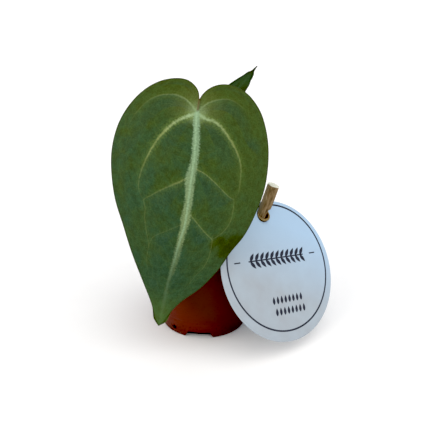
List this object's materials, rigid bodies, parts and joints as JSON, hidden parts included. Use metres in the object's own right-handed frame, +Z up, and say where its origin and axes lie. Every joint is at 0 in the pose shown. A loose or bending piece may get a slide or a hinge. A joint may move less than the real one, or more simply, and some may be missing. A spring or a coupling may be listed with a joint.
{
  "type": "potted anthurium magnificum",
  "caption": "Young velvet-leaved aroid in a small plastic pot: a large heart-shaped, pale-veined blade hangs in front of a younger one, beside a round card tag on a wooden stick.",
  "frame": {"origin": "centre of the pot's base, on the surface that it stands on", "axes": "+Z up along the pot's axis; -Y is the front, which the large blade faces; +X is the side with the tag"},
  "size_m": [0.0988, 0.0926, 0.1228],
  "materials": {
    "pot_plastic": "satin",
    "potting_mix": "matte",
    "stem_tissue": "matte",
    "petiole_tissue": "satin",
    "leaf_tissue": "matte",
    "young_leaf_tissue": "satin",
    "tag_card": "matte",
    "bare_wood": "matte"
  },
  "bodies": {
    "root": {"pot": "pot_plastic", "soil": "potting_mix", "crown": "stem_tissue", "petiole_large": "petiole_tissue", "petiole_small": "petiole_tissue", "leaf_large": "leaf_tissue", "leaf_small": "young_leaf_tissue", "tag": "tag_card", "tag_stick": "bare_wood"}
  },
  "joints": []
}
